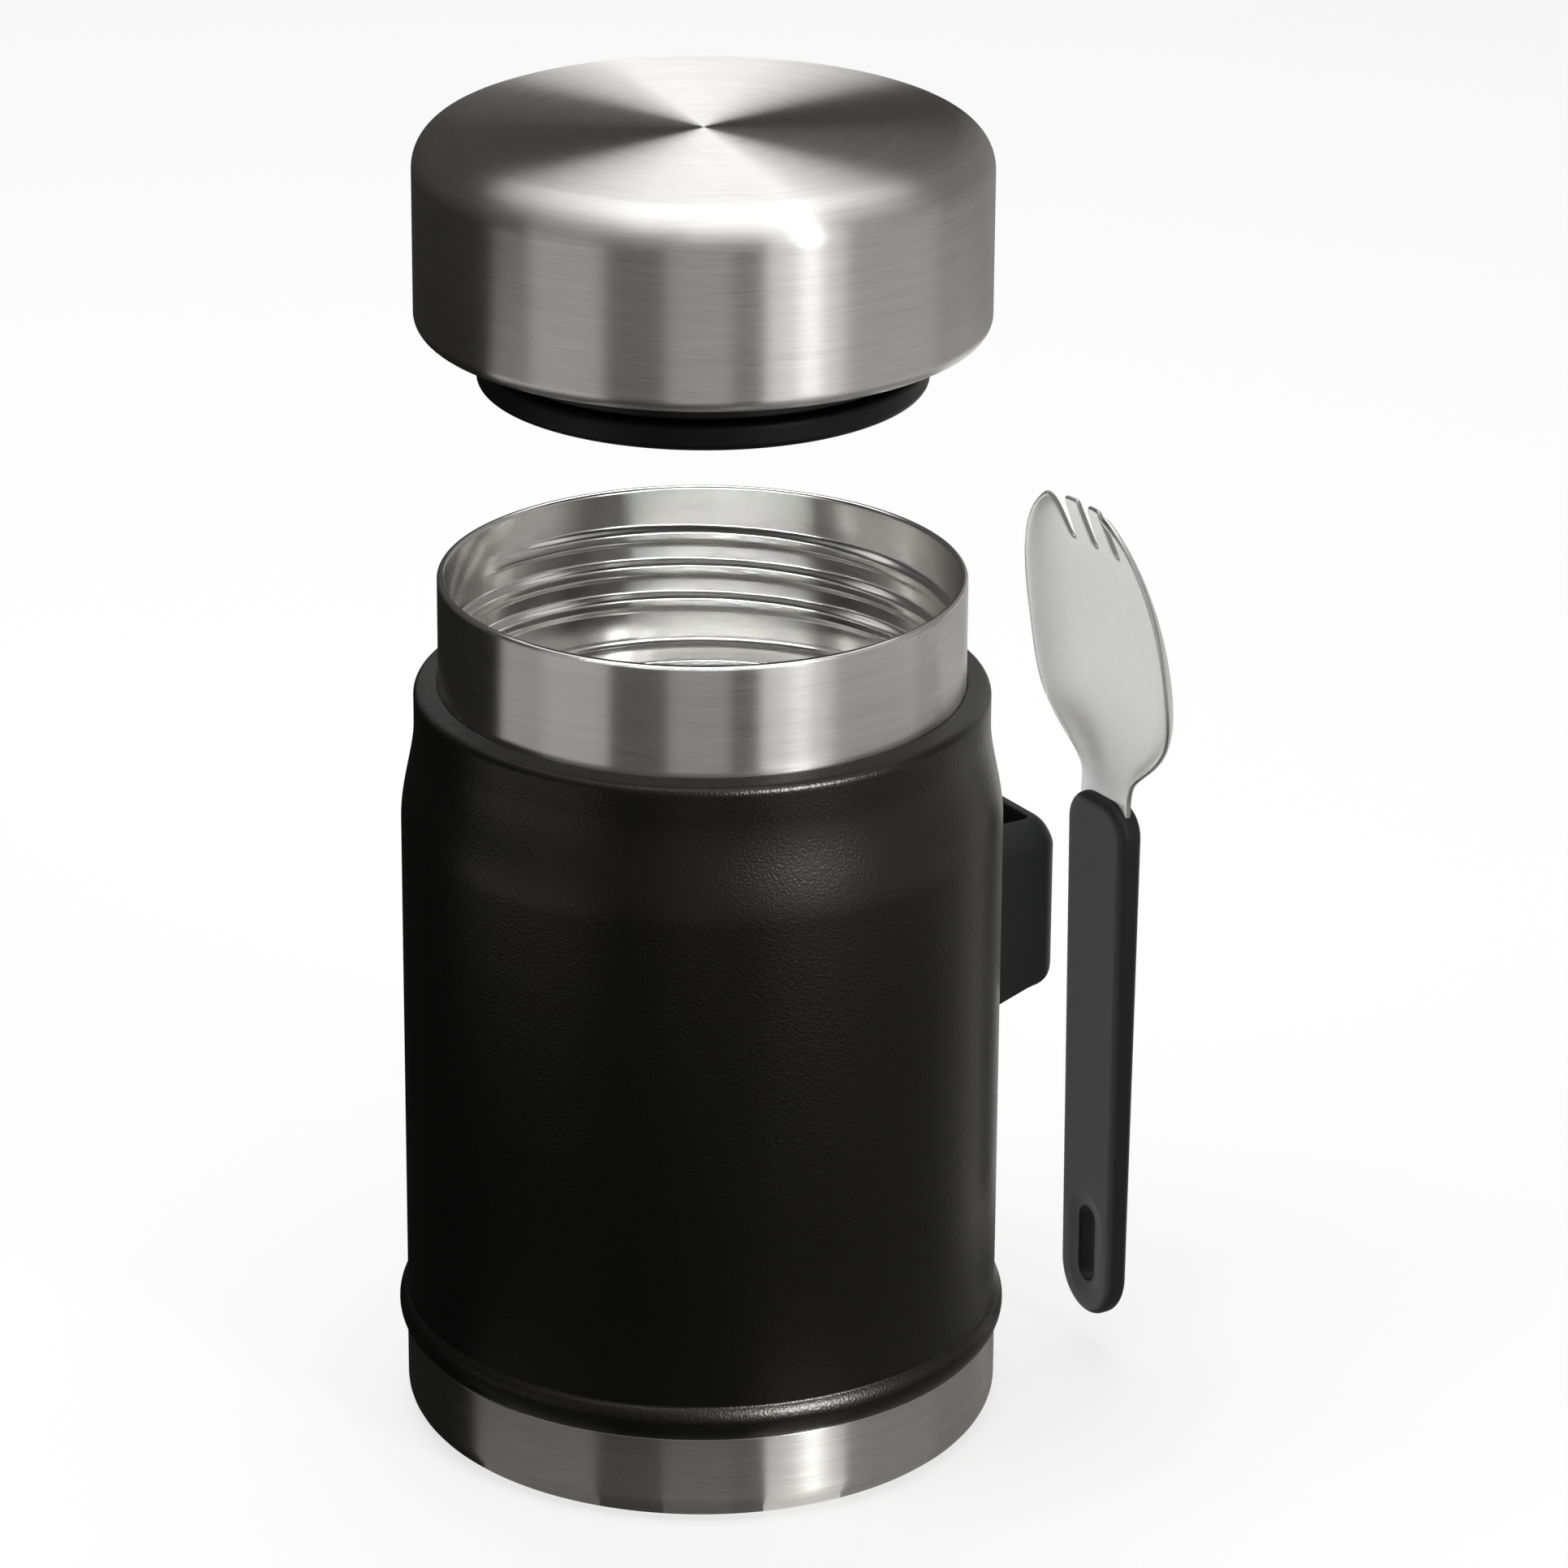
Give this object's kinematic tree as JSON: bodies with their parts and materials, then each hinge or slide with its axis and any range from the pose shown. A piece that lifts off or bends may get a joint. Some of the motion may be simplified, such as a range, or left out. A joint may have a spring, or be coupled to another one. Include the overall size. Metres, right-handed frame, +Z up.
{
  "type": "insulated food jar",
  "caption": "Vacuum-insulated steel food jar with a screw-on steel lid shown lifted off, a side loop, and a spork that stows in the loop.",
  "frame": {"origin": "centre of the underside of the base cup", "axes": "+Z up along the jar's axis; +X runs from the axis through the middle of the spork loop"},
  "size_m": [0.1098, 0.0912, 0.1994],
  "materials": {
    "black_coat": "fine-textured black powder coat",
    "raw_steel": "plain rolled stainless steel",
    "seal_metal": "dull grey metal",
    "copper_foil": "bright copper foil",
    "vessel_steel": "satin stainless steel, polished on the thread",
    "brushed_steel": "stainless steel brushed round the axis",
    "loop_plastic": "black moulded plastic, fine matt",
    "core_plastic": "black moulded plastic, smooth",
    "lid_foam": "cream insulating foam",
    "gasket_rubber": "black silicone rubber",
    "spork_steel": "tumble-polished stainless steel",
    "handle_plastic": "black moulded plastic, fine matt"
  },
  "bodies": {
    "jar": {"outer_shell": "black_coat", "shell_floor": "raw_steel", "vacuum_seal": "seal_metal", "getter": "seal_metal", "radiation_shield": "copper_foil", "inner_vessel": "vessel_steel", "mouth_thread": "vessel_steel", "vessel_floor": "vessel_steel", "neck_band": "brushed_steel", "base_cup": "brushed_steel", "loop_bracket": "raw_steel", "spork_loop": "loop_plastic"},
    "lid_seal": {"lid_gasket": "gasket_rubber"},
    "lid": {"lid_cap": "brushed_steel", "lid_core": "core_plastic", "plug_thread": "core_plastic", "lid_foam": "lid_foam", "stopper_floor": "core_plastic"},
    "spork": {"spork_blade": "spork_steel", "spork_handle": "handle_plastic"}
  },
  "joints": [
    {"name": "lid_lift", "type": "slide", "parent": "jar", "child": "lid_seal", "axis": [0, 0, 1], "range_m": [-0.0544, 0]},
    {"name": "lid_turn", "type": "hinge", "parent": "lid_seal", "child": "lid", "pos_m": [0, 0, 0.18], "axis": [0, 0, 1], "range_deg": [-360, 0]},
    {"name": "spork_lift", "type": "slide", "parent": "jar", "child": "spork", "axis": [0, 0, 1], "range_m": [0, 0.086]}
  ]
}
